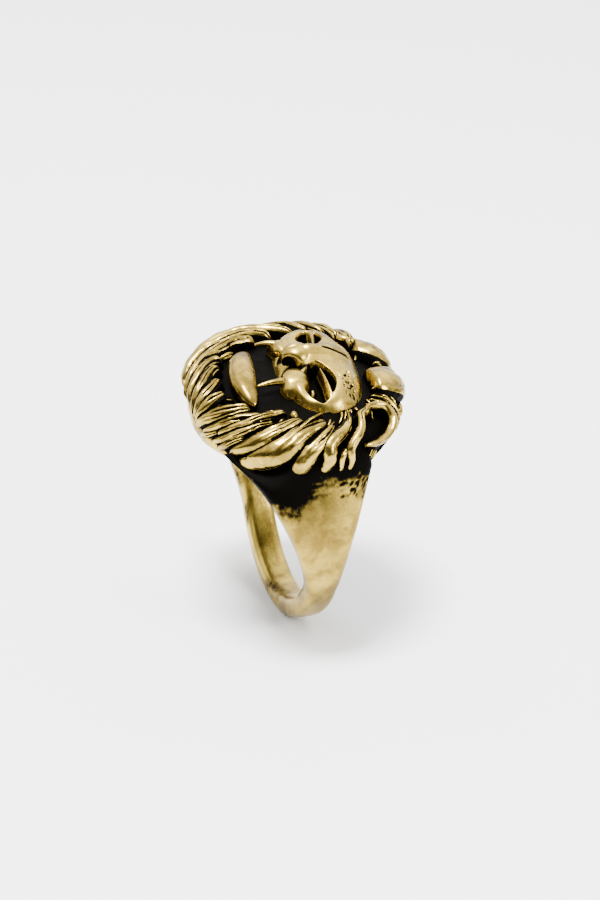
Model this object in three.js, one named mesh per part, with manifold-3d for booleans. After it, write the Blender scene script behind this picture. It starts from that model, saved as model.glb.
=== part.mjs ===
// A lion-head finger ring: a plain cast band that widens into two shoulders, and a domed head that carries
// a roaring lion's face inside a ring of mane locks. Millimetres. The finger's axis lies along Y, the
// forehead points to +Y, the chin to -Y, and the face looks up along +Z.
import * as THREE from "three";
import { mergeVertices } from "three/addons/utils/BufferGeometryUtils.js";
import Module from "manifold-3d";

const wasm = await Module();
wasm.setup();

// Driving dimensions.
const HOLE_RADIUS = 9.5; // the finger hole, 19 mm across
const FIT_GAP = 0.04; // the seam left between neighbouring castings
const BAND_HALF_WIDTH = 1.35; // at the bottom of the band
const BAND_THICKNESS = 1.7; // at the bottom of the band
const SHOULDER_THICKNESS = 2.2; // beside the head
const THICKEST_AT = 100; // degrees round from the bottom, from where the band is as thick as a shoulder
const SHOULDER_END = 138; // degrees round from the bottom, where the band runs under the mane
const FLARE_START = 58; // degrees round from the bottom, where the band begins to widen
const CHIN_FLARE = { extra: 6.9, end: 138, power: 1.5 }; // how the shoulder widens on the chin side
const BROW_FLARE = { extra: 2.9, end: 124, power: 1.75 }; // how the shoulder widens on the forehead side
const TUCK = 0.85; // how much thinner the chin side of a shoulder gets where it runs under the mane
const EDGE_FALL = 0.2; // how far the outside falls towards both edges of a shoulder
const FOOT_DEPTH = 0.12; // how much is worn flat at the very bottom of the band
const FOOT_BOX = 12; // wider than the flat

const HEAD_TURN = -6; // degrees about Z: the head sits slightly turned on its band
const HEAD_LEAN = 8; // degrees about Y: and leans slightly to its own left
const HEAD_PIVOT_Z = 10.5; // the height that it leans about
const DOME_CENTRE_Z = 8.1;
const DOME_HALF_WIDTH = 9.2;
const DOME_HALF_LENGTH = 8.8;
const DOME_RISE = 2.9; // from the dome's widest level up to its top
const DOME_DROP = 3.3; // from the dome's widest level down
const DOME_UNDERCUT = 0.42; // how far the dome draws in below its widest level
const OUTLINE_SQUARENESS = 2.25; // of the dome from above, where 2 would be an ellipse
const PROFILE_SQUARENESS = 2.5; // of the dome from the side

const FACE_SIZE = [6.0, 4.0, 3.4]; // half axes of the mask
const FACE_CENTRE = [0, 1.95, 9.1];
const BRIDGE_SIZE = [1.5, 3.4, 1.5];
const BRIDGE_CENTRE = [0, 1.9, 11.4];
const SOCKET_SIZE = [1.7, 1.3, 1.2];
const EYE_SIZE = [1.0, 0.8, 0.75];
const EYE_OUT = 2.95; // from the middle of the face to each eye
const EYE_Y = 1.25;
const NOSE_SIZE = [1.15, 1.0, 1.1];
const NOSE_CENTRE = [-0.3, -0.35, 12.3];
const MUZZLE_SIZE = [1.5, 1.2, 1.25];
const MUZZLE_CENTRE = [2.3, -0.9, 11.3];
const JAW_RADIUS = 1.1;
const JAW_HALF_LENGTH = 4.0;
const FANG_ROOT = [2.9, -1.6, 11.8];
const FANG_TIP = [3.2, -3.6, 11.6];
const FANG_ROOT_RADIUS = 0.34;
const FANG_TIP_RADIUS = 0.14;
const EAR_ANGLE = 36; // degrees round the dome
const EAR_REACH = 0.75; // how far down the dome
const EAR_HALF_LENGTH = 1.45;
const EAR_HALF_WIDTH = 1.05;
const EAR_RIM_HALF_WIDTH = 0.42;
const EAR_RIM_HEIGHT = 0.95;

const BRASS = { color: 0xb08d4f, roughness: 0.38, metalness: 1 };
const BLACKENED = { color: 0x4b3a20, roughness: 0.6, metalness: 1 };

const ring = new THREE.Group();
const head = new THREE.Group();
head.rotation.set(0, THREE.MathUtils.degToRad(HEAD_LEAN), THREE.MathUtils.degToRad(HEAD_TURN), "ZYX");
const pivot = new THREE.Vector3(0, 0, HEAD_PIVOT_Z);
head.position.copy(pivot).sub(pivot.clone().applyEuler(head.rotation));
ring.add(head);
ring.updateMatrixWorld(true);

const rad = THREE.MathUtils.degToRad;
const smooth = THREE.MathUtils.smoothstep;

// ---- Solids ---------------------------------------------------------------------------------------------

function solid(geometry) {
  const bare = geometry.clone();
  for (const name of Object.keys(bare.attributes)) {
    if (name !== "position") bare.deleteAttribute(name);
  }
  const merged = mergeVertices(bare, 1e-4);
  return new wasm.Manifold(new wasm.Mesh({
    numProp: 3,
    vertProperties: new Float32Array(merged.attributes.position.array),
    triVerts: new Uint32Array(merged.index.array),
  }));
}

// The largest of the bodies that a cut leaves, so that no loose sliver stays behind.
function mainBody(cut) {
  return cut.decompose().reduce((a, b) => (b.volume() > a.volume() ? b : a));
}

function geometryOf(body) {
  const mesh = body.getMesh();
  const geometry = new THREE.BufferGeometry();
  geometry.setAttribute("position", new THREE.BufferAttribute(new Float32Array(mesh.vertProperties), 3));
  geometry.setIndex(new THREE.BufferAttribute(new Uint32Array(mesh.triVerts), 1));
  geometry.computeVertexNormals();
  return geometry;
}

// A closed skin over a stack of rings, each ring a list of the same number of points. With looped rings
// the last joins the first; otherwise each end closes on the middle of its ring.
function skin(rings, looped = false) {
  const sides = rings[0].length;
  const points = rings.flat();
  const index = [];
  const count = looped ? rings.length : rings.length - 1;
  for (let i = 0; i < count; i++) {
    const a = i * sides;
    const b = ((i + 1) % rings.length) * sides;
    for (let j = 0; j < sides; j++) {
      const k = (j + 1) % sides;
      index.push(a + j, a + k, b + k, a + j, b + k, b + j);
    }
  }
  if (!looped) {
    for (const [row, flip] of [[0, false], [rings.length - 1, true]]) {
      const middle = new THREE.Vector3();
      for (const p of rings[row]) middle.addScaledVector(p, 1 / sides);
      points.push(middle);
      for (let j = 0; j < sides; j++) {
        const a = row * sides + j;
        const b = row * sides + ((j + 1) % sides);
        index.push(...(flip ? [a, b, points.length - 1] : [b, a, points.length - 1]));
      }
    }
  }
  const geometry = new THREE.BufferGeometry().setFromPoints(points);
  geometry.setIndex(index);
  const body = solid(geometry);
  if (body.volume() > 0) return body;
  for (let i = 0; i < index.length; i += 3) [index[i + 1], index[i + 2]] = [index[i + 2], index[i + 1]];
  geometry.setIndex(index);
  return solid(geometry);
}

// An ellipsoid with half axes a, b and c, turned by angles in degrees.
function ellipsoid([a, b, c], centre, angles = [0, 0, 0], segments = 14) {
  const geometry = new THREE.SphereGeometry(1, segments, Math.round(segments / 2));
  geometry.scale(a, b, c);
  const turn = new THREE.Euler(rad(angles[0]), rad(angles[1]), rad(angles[2]));
  geometry.applyMatrix4(new THREE.Matrix4().makeRotationFromEuler(turn));
  geometry.translate(...centre);
  return solid(geometry);
}

function signedPower(value, power) {
  return Math.sign(value) * Math.abs(value) ** power;
}

// ---- Band -----------------------------------------------------------------------------------------------

function halfWidth(degrees, flare) {
  const t = (Math.abs(degrees) - FLARE_START) / (flare.end - FLARE_START);
  return BAND_HALF_WIDTH + flare.extra * THREE.MathUtils.clamp(t, 0, 1) ** flare.power;
}

// One section of the band, a flattened oval with a nearly flat inside, grown outwards by grow.
function bandSection(degrees, grow) {
  const chin = halfWidth(degrees, CHIN_FLARE) + grow;
  const brow = halfWidth(degrees, BROW_FLARE) + grow;
  const rise = smooth(Math.abs(degrees), 0, THICKEST_AT);
  const thickness = THREE.MathUtils.lerp(BAND_THICKNESS, SHOULDER_THICKNESS, rise);
  const points = [];
  const half = [[0.9, 0], [1, 0.15], [1, 0.6], [0.8, 0.93]];
  const otherHalf = half.map(([across, up]) => [-across, up]).reverse();
  const profile = [[0, 0], ...half, [0, 1], ...otherHalf];
  for (const [across, up] of profile) {
    const y = across < 0 ? across * chin : across * brow;
    const fall = up > 0.5 ? EDGE_FALL * rise * across * across : 0;
    const tucked = TUCK * smooth(Math.abs(degrees), SHOULDER_END - 24, SHOULDER_END - 4) * smooth(-y, 2, 6);
    const r = HOLE_RADIUS + ((thickness - fall) * (1 - tucked) + 2 * grow) * up - grow;
    points.push(new THREE.Vector3(r * Math.sin(rad(degrees)), y, -r * Math.cos(rad(degrees))));
  }
  return points;
}

function band(grow = 0) {
  const end = SHOULDER_END + grow * 6;
  const steps = 44;
  const rings = [];
  for (let i = 0; i <= steps; i++) rings.push(bandSection(-end + (2 * end * i) / steps, grow));
  return skin(rings);
}

// ---- Head -----------------------------------------------------------------------------------------------

// A point of the dome. The angle goes round from +X through the forehead at 90, and reach goes from 0 at
// the top of the dome through 1 at its widest level to 2 at its underside.
function domePoint(angle, reach, grow = 0) {
  const outline = 2 / OUTLINE_SQUARENESS;
  const round = rad(angle);
  const down = (Math.PI / 2) * reach;
  const spread = reach <= 1 ? Math.sin(down) : 1 - DOME_UNDERCUT * (reach - 1) ** 1.5;
  const x = (DOME_HALF_WIDTH + grow) * spread * signedPower(Math.cos(round), outline);
  const y = (DOME_HALF_LENGTH + grow) * spread * signedPower(Math.sin(round), outline);
  const height = reach <= 1 ? DOME_RISE : DOME_DROP;
  const z = DOME_CENTRE_Z + (height + grow) * signedPower(Math.cos(down), 2 / PROFILE_SQUARENESS);
  return new THREE.Vector3(x, y, z);
}

function domeNormal(angle, reach) {
  const step = 0.5;
  const along = domePoint(angle, reach + step / 50).sub(domePoint(angle, reach - step / 50));
  const around = domePoint(angle + step, reach).sub(domePoint(angle - step, reach));
  return along.cross(around).normalize();
}

function dome(grow = 0) {
  const rings = [];
  const levels = 14;
  const sides = 36;
  for (let i = 0; i <= levels; i++) {
    const reach = THREE.MathUtils.clamp((2 * i) / levels, 0.03, 1.97);
    const points = [];
    for (let j = 0; j < sides; j++) points.push(domePoint((360 * j) / sides + 5, reach, grow));
    rings.push(points);
  }
  return skin(rings);
}

function holePlug(grow = 0) {
  const length = 40;
  return solid(new THREE.CylinderGeometry(HOLE_RADIUS + grow, HOLE_RADIUS + grow, length, 72));
}

// The head's own pieces are modelled upright and then turned with the head group, so whatever belongs to
// the band is turned back before it cuts them.
const toHead = head.matrixWorld.clone().invert();
function inHeadFrame(body) {
  const geometry = geometryOf(body);
  geometry.applyMatrix4(toHead);
  return solid(geometry);
}

const holeInHead = inHeadFrame(holePlug());
const bandInHead = inHeadFrame(band(FIT_GAP));
const domeWithGap = dome(FIT_GAP);
const placed = []; // the grown shapes of the pieces that are already in place, each with its box

function boxesMeet(a, b) {
  return [0, 1, 2].every((i) => a.min[i] <= b.max[i] && b.min[i] <= a.max[i]);
}

function addTo(group, name, body, finish = BRASS) {
  const mesh = new THREE.Mesh(geometryOf(body), new THREE.MeshStandardMaterial(finish));
  mesh.name = name;
  group.add(mesh);
}

// Seats a piece on the dome: shape(grow) is cut clear of the dome, the hole, the band and every piece
// that is already in place, and then takes its own place.
function seat(name, shape, finish = BRASS) {
  let body = shape(0).subtract(domeWithGap).subtract(holeInHead).subtract(bandInHead);
  const box = body.boundingBox();
  for (const other of placed) {
    if (boxesMeet(box, other.box)) body = body.subtract(other.body);
  }
  body = mainBody(body);
  const grown = shape(FIT_GAP);
  placed.push({ body: grown, box: grown.boundingBox() });
  addTo(head, name, body, finish);
}

// A tapered lock of hair that follows the dome. It runs from one (angle, reach) to another, bows
// sideways by bow degrees, and rises height above the dome at its thickest.
function lock({ from, to, bow = 0, width, height, lift = 0, blunt = 0.25 }) {
  const sides = 8;
  const steps = 8;
  return (grow) => {
    const rings = [];
    for (let i = 0; i <= steps; i++) {
      const t = i / steps;
      const angle = THREE.MathUtils.lerp(from[0], to[0], t) + bow * Math.sin(Math.PI * t);
      const reach = THREE.MathUtils.lerp(from[1], to[1], t);
      const middle = domePoint(angle, reach);
      const normal = domeNormal(angle, reach);
      const next = t + 0.02;
      const ahead = domePoint(THREE.MathUtils.lerp(from[0], to[0], next) + bow * Math.sin(Math.PI * next),
        THREE.MathUtils.lerp(from[1], to[1], next));
      const across = ahead.sub(middle).normalize().cross(normal).normalize();
      const swell = Math.max(blunt, Math.sin(Math.PI * Math.min(1, 0.12 + 0.88 * t)) ** 0.6);
      const points = [];
      for (let j = 0; j < sides; j++) {
        const turn = (2 * Math.PI * j) / sides;
        points.push(middle.clone()
          .addScaledVector(across, (width * swell + grow) * Math.cos(turn))
          .addScaledVector(normal, (height * swell + grow) * Math.sin(turn) + lift));
      }
      rings.push(points);
    }
    return skin(rings);
  };
}

// Both halves of a paired piece: side is +1 on the lion's left and -1 on its right.
function pair(name, make, finish = BRASS) {
  for (const [side, word] of [[1, "left"], [-1, "right"]]) seat(name + "_" + word, make(side), finish);
}

// Turns a dome angle for the lion's left into the same place on the side asked for.
const mirror = (side, angle) => (side > 0 ? angle : 180 - angle);

// ---- The pieces -----------------------------------------------------------------------------------------

const wornOff = new THREE.BoxGeometry(FOOT_BOX, FOOT_BOX, FOOT_BOX);
wornOff.translate(0, 0, -(HOLE_RADIUS + BAND_THICKNESS) + FOOT_DEPTH - FOOT_BOX / 2);
addTo(ring, "shank", mainBody(band().subtract(solid(wornOff))));

addTo(head, "head_base", mainBody(dome().subtract(holeInHead).subtract(bandInHead)), BLACKENED);

// A copy of a point or of half axes on the side asked for, and half axes grown by grow.
const onSide = ([x, y, z], side) => [side * x, y, z];
const larger = (size, grow) => size.map((half) => half + grow);

// The face: a brow and cheek mask with a raised bridge, open at both eye sockets.
function faceMask(grow) {
  const bridge = ellipsoid(larger(BRIDGE_SIZE, grow), BRIDGE_CENTRE, [8, 0, 0]);
  let face = ellipsoid(larger(FACE_SIZE, grow), FACE_CENTRE, [0, 0, 0], 20).add(bridge);
  for (const side of [1, -1]) {
    const socket = ellipsoid(larger(SOCKET_SIZE, -grow), [EYE_OUT * side, EYE_Y, 12.0], [0, 25 * side, 0], 12);
    face = face.subtract(socket);
  }
  return face;
}
seat("face", faceMask);

pair("eye", (side) => (grow) => {
  const centre = onSide([EYE_OUT, EYE_Y, 11.75], side);
  return ellipsoid(larger(EYE_SIZE, grow), centre, [0, 20 * side, 0], 10);
});

// The nose leather stands highest, with the two muzzle pads under it and the lower jaw across the mouth.
seat("nose", (grow) => ellipsoid(larger(NOSE_SIZE, grow), NOSE_CENTRE));
pair("muzzle", (side) => (grow) => {
  return ellipsoid(larger(MUZZLE_SIZE, grow), onSide(MUZZLE_CENTRE, side), [0, 20 * side, 0]);
});

// A tapered round bar along a line of points; radiusAt(t) is its radius, and out(t) points to its side.
function bar(points, radiusAt, out, sides) {
  return points.map((middle, i) => {
    const t = i / (points.length - 1);
    const up = new THREE.Vector3(0, 0, 1);
    return Array.from({ length: sides }, (_, j) => {
      const turn = (2 * Math.PI * j) / sides;
      return middle.clone()
        .addScaledVector(out(t), radiusAt(t) * Math.cos(turn))
        .addScaledVector(up, radiusAt(t) * Math.sin(turn));
    });
  });
}

// The lower lip is a smooth crescent with both of its ends bent back towards the cheeks.
function lowerJaw(grow) {
  const steps = 12;
  const line = [];
  for (let i = 0; i <= steps; i++) {
    const t = -1 + (2 * i) / steps;
    line.push(new THREE.Vector3(0.5 + JAW_HALF_LENGTH * t, -4.8 + 0.75 * t * t, 11.3 - 0.25 * t * t));
  }
  const radius = (t) => JAW_RADIUS * Math.max(0.2, Math.sin(Math.PI * (0.03 + 0.94 * t)) ** 0.7) + grow;
  return skin(bar(line, radius, () => new THREE.Vector3(0, 1, 0), 8));
}
seat("lower_jaw", lowerJaw);

// A fang on each side crosses the open mouth from the muzzle to the lower jaw.
function fang(side) {
  return (grow) => {
    const root = new THREE.Vector3(...onSide(FANG_ROOT, side));
    const tip = new THREE.Vector3(...onSide(FANG_TIP, side));
    const line = [0, 1, 2, 3].map((i) => root.clone().lerp(tip, i / 3));
    const radius = (t) => THREE.MathUtils.lerp(FANG_ROOT_RADIUS, FANG_TIP_RADIUS, t) + grow;
    return skin(bar(line, radius, () => new THREE.Vector3(1, 0, 0), 6));
  };
}
pair("fang", fang);

// Two full locks stand over the forehead.
pair("crown_lock", (side) => lock({
  from: [mirror(side, 74), 0.52], to: [mirror(side, 78), 1.04], width: 1.9, height: 1.45, blunt: 0.5,
}));

// A small round ear on each side, a rim raised round a hollow.
function ear(side) {
  return (grow) => {
    const steps = 16;
    const sides = 8;
    const centre = domePoint(mirror(side, EAR_ANGLE), EAR_REACH);
    const normal = domeNormal(mirror(side, EAR_ANGLE), EAR_REACH);
    const along = domePoint(mirror(side, EAR_ANGLE - 1), EAR_REACH + 0.06).sub(centre).normalize();
    const across = along.clone().cross(normal).normalize();
    const rings = [];
    for (let i = 0; i < steps; i++) {
      const turn = (2 * Math.PI * i) / steps;
      const out = along.clone().multiplyScalar(EAR_HALF_LENGTH * Math.cos(turn));
      out.addScaledVector(across, EAR_HALF_WIDTH * Math.sin(turn));
      const middle = centre.clone().add(out);
      const away = out.clone().normalize();
      const points = [];
      for (let j = 0; j < sides; j++) {
        const roll = (2 * Math.PI * j) / sides;
        points.push(middle.clone()
          .addScaledVector(away, (EAR_RIM_HALF_WIDTH + grow) * Math.cos(roll))
          .addScaledVector(normal, (EAR_RIM_HEIGHT + grow) * Math.sin(roll)));
      }
      rings.push(points);
    }
    return skin(rings, true);
  };
}
pair("ear", ear);

// The mane of each side, from the forehead round to the chin. Every lock starts in the groove round the
// face and sweeps down towards the chin.
const sideLocks = {
  temple_lock: { from: [53, 0.5], to: [46, 0.95], width: 1.15, height: 1.3 },
  nape_lock: { from: [38, 1.0], to: [26, 1.3], width: 0.9, height: 0.8 },
  upper_cheek_lock: { from: [29, 0.5], to: [5, 1.4], bow: 2, width: 0.9, height: 1.45 },
  cheek_lock: { from: [18, 0.5], to: [-5, 1.42], bow: 2, width: 0.9, height: 1.4 },
  lower_cheek_lock: { from: [-2, 0.85], to: [-16, 1.42], width: 0.95, height: 1.15 },
  jowl_lock: { from: [5, 0.48], to: [-34, 1.3], bow: -4, width: 1.35, height: 1.4 },
  whisker_lock: { from: [-12, 0.48], to: [-46, 1.15], bow: -3, width: 1.15, height: 1.35 },
  upper_chin_lock: { from: [-29, 0.5], to: [-58, 1.04], bow: -3, width: 1.15, height: 1.25 },
  lower_chin_lock: { from: [-46, 0.54], to: [-69, 1.0], bow: -3, width: 1.15, height: 1.15 },
};
for (const [name, shape] of Object.entries(sideLocks)) {
  pair(name, (side) => lock({
    ...shape,
    from: [mirror(side, shape.from[0]), shape.from[1]],
    to: [mirror(side, shape.to[0]), shape.to[1]],
    bow: side * (shape.bow ?? 0),
  }));
}

// The beard fans out below the jaw.
const BEARD_LOCKS = 5;
for (let i = 0; i < BEARD_LOCKS; i++) {
  const fan = i - (BEARD_LOCKS - 1) / 2;
  seat("beard_lock_" + (i + 1), lock({
    from: [270 + 11 * fan, 0.6],
    to: [270 + 7 * fan, 1.0],
    bow: fan,
    width: 1.0,
    height: 1.15,
  }));
}

export default ring;
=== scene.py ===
import math

import bpy
import numpy as np
from mathutils import Matrix, Vector, noise
from mathutils.bvhtree import BVHTree


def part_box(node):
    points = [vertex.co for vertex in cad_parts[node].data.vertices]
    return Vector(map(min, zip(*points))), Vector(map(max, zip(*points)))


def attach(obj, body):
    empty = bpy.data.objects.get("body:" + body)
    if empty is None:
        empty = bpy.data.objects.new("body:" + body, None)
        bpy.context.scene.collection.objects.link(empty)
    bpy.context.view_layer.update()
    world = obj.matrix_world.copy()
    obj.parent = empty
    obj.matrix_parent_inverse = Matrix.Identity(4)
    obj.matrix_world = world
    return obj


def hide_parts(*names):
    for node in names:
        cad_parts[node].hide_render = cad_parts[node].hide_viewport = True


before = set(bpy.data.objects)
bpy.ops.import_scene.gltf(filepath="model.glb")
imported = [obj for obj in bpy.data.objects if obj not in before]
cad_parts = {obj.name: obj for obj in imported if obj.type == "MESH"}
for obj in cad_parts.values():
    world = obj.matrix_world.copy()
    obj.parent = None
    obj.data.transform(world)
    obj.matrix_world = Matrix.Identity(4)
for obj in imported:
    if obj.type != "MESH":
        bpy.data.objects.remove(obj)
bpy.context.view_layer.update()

# ---- Shank -----------------------------------------------------------------------------------------------
# The band that goes round the finger, narrow at the bottom and widening into two broad shoulders that run up
# under the mane. Cast in one with the head in yellow brass, filed smooth, blackened and rubbed back.

# The black film, which also colours the painted shade on the lower lip.
BLACK_FILM_AND_SHADE = (0.0008, 0.0006, 0.0003)
BROWN_TARNISH = (0.085, 0.055, 0.012)


def antique_brass(name, light, dark, shine, grain, black_level, black_softness, bump):
    """Rubbed brass between a light and a dark tone, black where the mesh attribute "patina" is high: its
    blackening, and on the lower lip painted shade.
    """
    material = bpy.data.materials.new(name)
    material.use_nodes = True
    nodes, links = material.node_tree.nodes, material.node_tree.links
    nodes.clear()
    out = nodes.new("ShaderNodeOutputMaterial")
    shader = nodes.new("ShaderNodeBsdfPrincipled")
    links.new(shader.outputs["BSDF"], out.inputs["Surface"])
    shader.inputs["Specular IOR Level"].default_value = 0.02
    place = nodes.new("ShaderNodeTexCoord")

    def cloud(scale, detail, roughness, distortion=0.0):
        node = nodes.new("ShaderNodeTexNoise")
        node.inputs["Scale"].default_value = scale
        node.inputs["Detail"].default_value = detail
        node.inputs["Roughness"].default_value = roughness
        node.inputs["Distortion"].default_value = distortion
        links.new(place.outputs["Object"], node.inputs["Vector"])
        return node.outputs["Fac"]

    def ramp(source, stops):
        node = nodes.new("ShaderNodeValToRGB")
        node.color_ramp.interpolation = "EASE"
        while len(node.color_ramp.elements) < len(stops):
            node.color_ramp.elements.new(0.5)
        for element, (position, colour) in zip(node.color_ramp.elements, stops):
            element.position = position
            element.color = (*colour, 1)
        links.new(source, node.inputs["Fac"])
        return node.outputs["Color"]

    def blend(factor, first, second):
        node = nodes.new("ShaderNodeMix")
        node.data_type = "RGBA"
        links.new(factor, node.inputs["Factor"])
        for socket, value in ((node.inputs["A"], first), (node.inputs["B"], second)):
            if isinstance(value, tuple):
                socket.default_value = (*value, 1)
            else:
                links.new(value, socket)
        return node.outputs["Result"]

    def reckon(kind, first, second, third=None, clamp=False):
        node = nodes.new("ShaderNodeMath")
        node.operation = kind
        node.use_clamp = clamp
        for socket, value in zip(node.inputs, (first, second, third)):
            if value is None:
                continue
            if isinstance(value, (int, float)):
                socket.default_value = value
            else:
                links.new(value, socket)
        return node.outputs["Value"]

    # Metal: mottled between a light rubbed tone and a duller one, with faint brown tarnish blotches.
    mottle = cloud(grain, 6, 0.62, 0.4)
    tone = ramp(mottle, [(0.36, dark), (0.64, light)])
    blotch = ramp(cloud(grain * 0.33, 5, 0.6, 0.8), [(0.50, (0, 0, 0)), (0.72, (1, 1, 1))])
    tarnish = blend(reckon("MULTIPLY", blotch, 0.60), tone, BROWN_TARNISH)

    # Patina and painted shade: the darkening stored at each place, broken up by two sizes of cloud so that
    # its edge is ragged.
    darkening = nodes.new("ShaderNodeAttribute")
    darkening.attribute_name = "patina"
    ragged = reckon("MULTIPLY_ADD", cloud(3400, 4, 0.7), 0.44, -0.22)
    broad = reckon("MULTIPLY_ADD", cloud(800, 3, 0.6), 0.40, -0.20)
    level = reckon("ADD", reckon("ADD", darkening.outputs["Fac"], ragged), broad)
    black = ramp(level, [(black_level, (0, 0, 0)), (black_level + black_softness, (1, 1, 1))])
    colour = blend(black, tarnish, BLACK_FILM_AND_SHADE)
    links.new(colour, shader.inputs["Base Color"])

    # Rubbed brass is a full metal with a soft gloss; the black film on it, which also gives the painted shade
    # on the lower lip, is duller and barely metallic.
    links.new(reckon("MULTIPLY_ADD", black, -0.75, 1.0), shader.inputs["Metallic"])
    gloss = reckon("MULTIPLY_ADD", cloud(grain * 1.7, 4, 0.6), 0.22, shine - 0.11)
    links.new(reckon("MULTIPLY_ADD", black, 0.24, gloss, True), shader.inputs["Roughness"])

    # Cast skin: fine grain, short rubbing scratches and a few pin holes.
    stretch = nodes.new("ShaderNodeMapping")
    stretch.inputs["Scale"].default_value = (350, 2600, 2600)
    stretch.inputs["Rotation"].default_value = (0.3, 0.5, 0.9)
    links.new(place.outputs["Object"], stretch.inputs["Vector"])
    scratch = nodes.new("ShaderNodeTexNoise")
    scratch.inputs["Scale"].default_value = 1.0
    scratch.inputs["Detail"].default_value = 3
    links.new(stretch.outputs["Vector"], scratch.inputs["Vector"])
    cells = nodes.new("ShaderNodeTexVoronoi")
    cells.inputs["Scale"].default_value = 900
    links.new(place.outputs["Object"], cells.inputs["Vector"])
    holes = ramp(cells.outputs["Distance"], [(0.04, (0, 0, 0)), (0.16, (1, 1, 1))])
    rubbing = reckon("MULTIPLY", scratch.outputs["Fac"], 0.25)
    relief = reckon("MULTIPLY_ADD", cloud(3200, 5, 0.6), 0.5, rubbing)
    relief = reckon("MULTIPLY_ADD", holes, 0.16, relief)
    lift = nodes.new("ShaderNodeBump")
    lift.inputs["Strength"].default_value = bump
    lift.inputs["Distance"].default_value = 0.00006
    links.new(relief, lift.inputs["Height"])
    links.new(lift.outputs["Normal"], shader.inputs["Normal"])
    return material


ring_pieces = []


def casting(name, points, faces, material, nodes, blacking_and_shade=None):
    """A closed mesh given in millimetres. blacking_and_shade is its darkening, one value a corner:
    blackening, and on the lower lip painted shade.
    """
    mesh = bpy.data.meshes.new(name)
    mesh.from_pydata([tuple(p) for p in np.asarray(points) * 0.001], [], faces)
    mesh.validate()
    mesh.update()
    mesh.shade_smooth()
    piece = bpy.data.objects.new(name, mesh)
    bpy.context.scene.collection.objects.link(piece)
    mesh.materials.append(material)
    painted = mesh.attributes.new("patina", "FLOAT", "POINT")
    painted.data.foreach_set("value", np.zeros(len(points)) if blacking_and_shade is None else np.asarray(blacking_and_shade, float))
    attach(piece, "root")
    if nodes:
        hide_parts(*nodes)
    ring_pieces.append(piece)


def skin(rings):
    """Points and faces of a skin over a stack of rings, closed at both ends, its faces looking outwards."""
    rings = np.asarray(rings)
    count, sides = rings.shape[:2]
    points = list(rings.reshape(-1, 3))
    faces = []
    for i in range(count - 1):
        a, b = i * sides, (i + 1) * sides
        for j in range(sides):
            k = (j + 1) % sides
            faces.append((a + j, a + k, b + k, b + j))
    for row, flip in ((0, False), (count - 1, True)):
        points.append(rings[row].mean(axis=0))
        hub = len(points) - 1
        for j in range(sides):
            a, b = row * sides + j, row * sides + (j + 1) % sides
            faces.append((a, b, hub) if flip else (b, a, hub))
    points = np.array(points)
    volume = 0.0
    for face in faces:
        a, b, c = points[face[0]], points[face[1]], points[face[2]]
        volume += a @ np.cross(b, c)
        if len(face) == 4:
            volume += a @ np.cross(c, points[face[3]])
    if volume < 0:
        faces = [tuple(reversed(face)) for face in faces]
    return points, faces


def grain_of(points, size, seed):
    """Smooth random values between about -1 and 1, one for each point, with features of the size in mm."""
    shift = Vector((seed * 7.3, seed * 3.1, seed * 5.7))
    return np.array([noise.noise(Vector(p) / size + shift) for p in points])


def all_round(sides):
    """So many angles, evenly round a circle."""
    return np.linspace(0, 2 * math.pi, sides, endpoint=False)


def signed_power(value, power):
    return np.sign(value) * np.abs(value) ** power


def smoothstep(low, high, value):
    t = np.clip((value - low) / (high - low), 0, 1)
    return t * t * (3 - 2 * t)


# Sizes are in millimetres from here on; casting() turns them into metres.
FINGER_RADIUS = 9.5
BAND_HALF_WIDE, BAND_THICK, SHOULDER_THICKER = 1.35, 1.7, 0.5
FLARE_FROM, SHOULDER_END = 58, 138  # degrees round from the bottom of the band
CHIN_FLARE, BROW_FLARE, BROW_FLARE_OVER = 6.9, 2.9, 66
FAR_SHOULDER_NARROWER = 3.6
FOOT_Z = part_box("shank")[0][2] * 1000
shank_brass = antique_brass("rubbed_brass", light=(0.47, 0.33, 0.055), dark=(0.22, 0.145, 0.022), shine=0.35,
                            grain=420, black_level=0.26, black_softness=0.46, bump=0.60)


def shank_section(degrees, sides):
    """The outline of the band so many degrees from its bottom, the lion's left shoulder being positive."""
    past = abs(degrees) - FLARE_FROM
    chin = BAND_HALF_WIDE + CHIN_FLARE * np.clip(past / (SHOULDER_END - FLARE_FROM), 0, 1) ** 1.5
    if degrees < 0:
        chin -= FAR_SHOULDER_NARROWER * smoothstep(108, 134, -degrees)
    brow = BAND_HALF_WIDE + BROW_FLARE * np.clip(past / BROW_FLARE_OVER, 0, 1) ** 1.75
    thick = BAND_THICK + SHOULDER_THICKER * smoothstep(0, 100, abs(degrees))
    around = all_round(sides)
    y = (brow - chin) / 2 + (brow + chin) / 2 * signed_power(np.cos(around), 2 / 4.2)
    up = 0.5 + 0.5 * signed_power(np.sin(around), 2 / 3.0)
    tucked_in = 0.85 * smoothstep(114, 134, abs(degrees)) * smoothstep(2.0, 6.0, -y)
    if degrees < 0:
        tucked_in = np.maximum(tucked_in, 0.7 * smoothstep(118, 134, -degrees) * np.ones(sides))
    r = FINGER_RADIUS + thick * up * (1 - tucked_in)
    turn = math.radians(degrees)
    return np.stack([r * math.sin(turn), y, -r * math.cos(turn)], axis=-1)


shank_angles = np.linspace(-SHOULDER_END, SHOULDER_END, 221)
shank_points, shank_faces = skin([shank_section(a, 96) for a in shank_angles])
outward = shank_points.copy()
outward[:, 1] = 0
radius = np.linalg.norm(outward, axis=1)
outward /= radius[:, None]
outside = smoothstep(FINGER_RADIUS + 0.5, FINGER_RADIUS + 1.4, radius)
dents = 0.055 * grain_of(shank_points, 2.6, 1) + 0.02 * grain_of(shank_points, 0.9, 2)
around_degrees = np.degrees(np.arctan2(shank_points[:, 0], -shank_points[:, 2]))

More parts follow.
